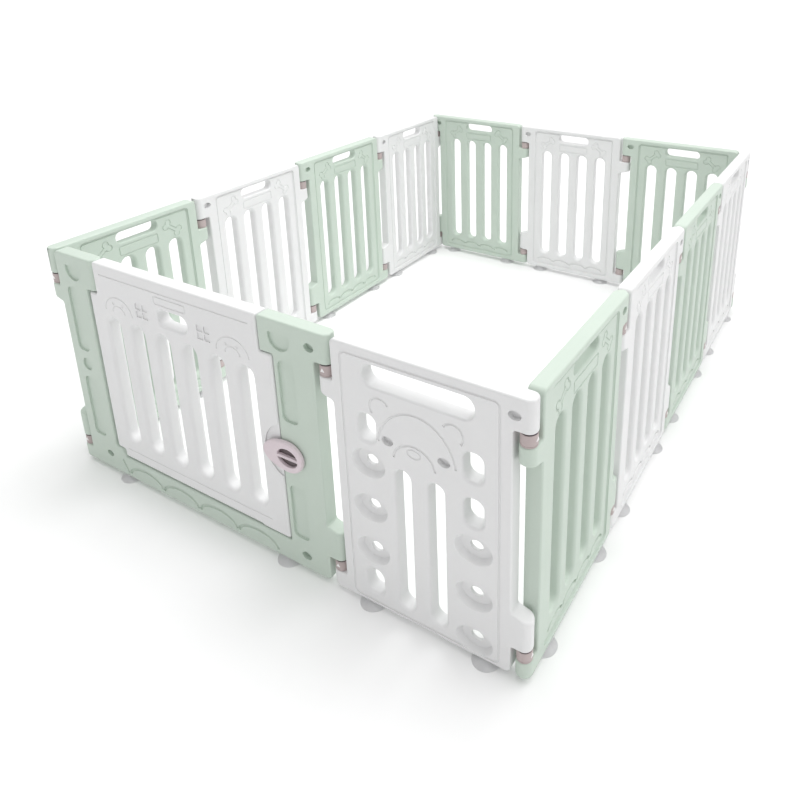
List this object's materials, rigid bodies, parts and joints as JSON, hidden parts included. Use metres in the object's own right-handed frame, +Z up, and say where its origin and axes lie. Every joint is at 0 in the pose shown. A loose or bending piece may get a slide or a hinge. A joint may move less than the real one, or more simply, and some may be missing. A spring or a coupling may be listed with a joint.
{
  "type": "playpen",
  "caption": "Folding playpen: a closed ring of slatted plastic panels on pin hinges, with an activity panel, a latched gate and suction-cup feet.",
  "frame": {"origin": "middle of the pen on the floor", "axes": "+Y from the gate side to the back side, +X to the right seen from the gate side, +Z up"},
  "size_m": [1.35, 1.78, 0.615],
  "materials": {
    "sage_plastic": "satin blow-moulded polyethylene, pale sage green",
    "white_plastic": "satin blow-moulded polyethylene, white",
    "mauve_plastic": "satin moulded plastic, dusty mauve",
    "foot_rubber": "translucent soft vinyl",
    "pin_steel": "bright drawn wire"
  },
  "bodies": {
    "gate_frame": {"gate_frame": "sage_plastic", "collar_upper_gate_frame": "mauve_plastic", "collar_lower_gate_frame": "mauve_plastic", "gate_pivot_top": "pin_steel", "gate_pivot_bottom": "pin_steel"},
    "activity_panel": {"activity_panel": "white_plastic", "collar_upper_activity_panel": "mauve_plastic", "collar_lower_activity_panel": "mauve_plastic"},
    "fence_right_1": {"fence_right_1": "sage_plastic", "collar_upper_fence_right_1": "mauve_plastic", "collar_lower_fence_right_1": "mauve_plastic"},
    "fence_right_2": {"fence_right_2": "white_plastic", "collar_upper_fence_right_2": "mauve_plastic", "collar_lower_fence_right_2": "mauve_plastic"},
    "fence_right_3": {"fence_right_3": "sage_plastic", "collar_upper_fence_right_3": "mauve_plastic", "collar_lower_fence_right_3": "mauve_plastic"},
    "fence_right_4": {"fence_right_4": "white_plastic", "collar_upper_fence_right_4": "mauve_plastic", "collar_lower_fence_right_4": "mauve_plastic"},
    "fence_back_3": {"fence_back_3": "sage_plastic", "collar_upper_fence_back_3": "mauve_plastic", "collar_lower_fence_back_3": "mauve_plastic"},
    "fence_back_2": {"fence_back_2": "white_plastic", "collar_upper_fence_back_2": "mauve_plastic", "collar_lower_fence_back_2": "mauve_plastic"},
    "fence_back_1": {"fence_back_1": "sage_plastic", "collar_upper_fence_back_1": "mauve_plastic", "collar_lower_fence_back_1": "mauve_plastic"},
    "fence_left_4": {"fence_left_4": "white_plastic", "collar_upper_fence_left_4": "mauve_plastic", "collar_lower_fence_left_4": "mauve_plastic"},
    "fence_left_3": {"fence_left_3": "sage_plastic", "collar_upper_fence_left_3": "mauve_plastic", "collar_lower_fence_left_3": "mauve_plastic"},
    "fence_left_2": {"fence_left_2": "white_plastic", "collar_upper_fence_left_2": "mauve_plastic", "collar_lower_fence_left_2": "mauve_plastic"},
    "fence_left_1": {"fence_left_1": "sage_plastic", "collar_upper_fence_left_1": "mauve_plastic", "collar_lower_fence_left_1": "mauve_plastic"},
    "gate_leaf": {"gate_leaf": "white_plastic"},
    "latch_knob": {"latch_knob": "mauve_plastic", "latch_retainer": "mauve_plastic"}
  },
  "joints": [
    {"name": "hinge_front_left", "type": "hinge", "parent": "gate_frame", "child": "fence_left_1", "pos_m": [-0.645, -0.86, 0.315], "axis": [0, 0, 1], "range_deg": [0, 50]},
    {"name": "hinge_left_1_2", "type": "hinge", "parent": "fence_left_1", "child": "fence_left_2", "pos_m": [-0.645, -0.43, 0.315], "axis": [0, 0, 1], "range_deg": [-100, 0]},
    {"name": "hinge_left_2_3", "type": "hinge", "parent": "fence_left_2", "child": "fence_left_3", "pos_m": [-0.645, 0, 0.315], "axis": [0, 0, 1], "range_deg": [0, 100]},
    {"name": "hinge_left_3_4", "type": "hinge", "parent": "fence_left_3", "child": "fence_left_4", "pos_m": [-0.645, 0.43, 0.315], "axis": [0, 0, 1], "range_deg": [-100, 0]},
    {"name": "hinge_back_left", "type": "hinge", "parent": "fence_left_4", "child": "fence_back_1", "pos_m": [-0.645, 0.86, 0.315], "axis": [0, 0, 1], "range_deg": [0, 50]},
    {"name": "hinge_front_middle", "type": "hinge", "parent": "gate_frame", "child": "activity_panel", "pos_m": [0.215, -0.86, 0.315], "axis": [0, 0, 1], "range_deg": [0, 25]},
    {"name": "hinge_front_right", "type": "hinge", "parent": "activity_panel", "child": "fence_right_1", "pos_m": [0.645, -0.86, 0.315], "axis": [0, 0, 1], "range_deg": [-75, 0]},
    {"name": "hinge_right_1_2", "type": "hinge", "parent": "fence_right_1", "child": "fence_right_2", "pos_m": [0.645, -0.43, 0.315], "axis": [0, 0, 1], "range_deg": [0, 100]},
    {"name": "hinge_right_2_3", "type": "hinge", "parent": "fence_right_2", "child": "fence_right_3", "pos_m": [0.645, 0, 0.315], "axis": [0, 0, 1], "range_deg": [-100, 0]},
    {"name": "hinge_right_3_4", "type": "hinge", "parent": "fence_right_3", "child": "fence_right_4", "pos_m": [0.645, 0.43, 0.315], "axis": [0, 0, 1], "range_deg": [0, 100]},
    {"name": "hinge_back_right", "type": "hinge", "parent": "fence_right_4", "child": "fence_back_3", "pos_m": [0.645, 0.86, 0.315], "axis": [0, 0, 1], "range_deg": [-25, 0]},
    {"name": "hinge_back_2_3", "type": "hinge", "parent": "fence_back_3", "child": "fence_back_2", "pos_m": [0.215, 0.86, 0.315], "axis": [0, 0, 1], "range_deg": [-25, 0]},
    {"name": "gate_swing", "type": "hinge", "parent": "gate_frame", "child": "gate_leaf", "pos_m": [-0.4955, -0.86, 0.315], "axis": [0, 0, 1], "range_deg": [0, 90]},
    {"name": "latch_turn", "type": "hinge", "parent": "gate_frame", "child": "latch_knob", "pos_m": [0.108, -0.86, 0.305], "axis": [0, 1, 0], "range_deg": [0, 90]}
  ],
  "couplings": [
    {"joint": "hinge_left_1_2", "follows": "hinge_front_left", "ratio": -2},
    {"joint": "hinge_left_2_3", "follows": "hinge_front_left", "ratio": 2},
    {"joint": "hinge_left_3_4", "follows": "hinge_front_left", "ratio": -2},
    {"joint": "hinge_back_left", "follows": "hinge_front_left", "ratio": 1},
    {"joint": "hinge_front_middle", "follows": "hinge_front_left", "ratio": 0.5},
    {"joint": "hinge_front_right", "follows": "hinge_front_left", "ratio": -1.5},
    {"joint": "hinge_right_1_2", "follows": "hinge_front_left", "ratio": 2},
    {"joint": "hinge_right_2_3", "follows": "hinge_front_left", "ratio": -2},
    {"joint": "hinge_right_3_4", "follows": "hinge_front_left", "ratio": 2},
    {"joint": "hinge_back_right", "follows": "hinge_front_left", "ratio": -0.5},
    {"joint": "hinge_back_2_3", "follows": "hinge_front_left", "ratio": -0.5}
  ]
}
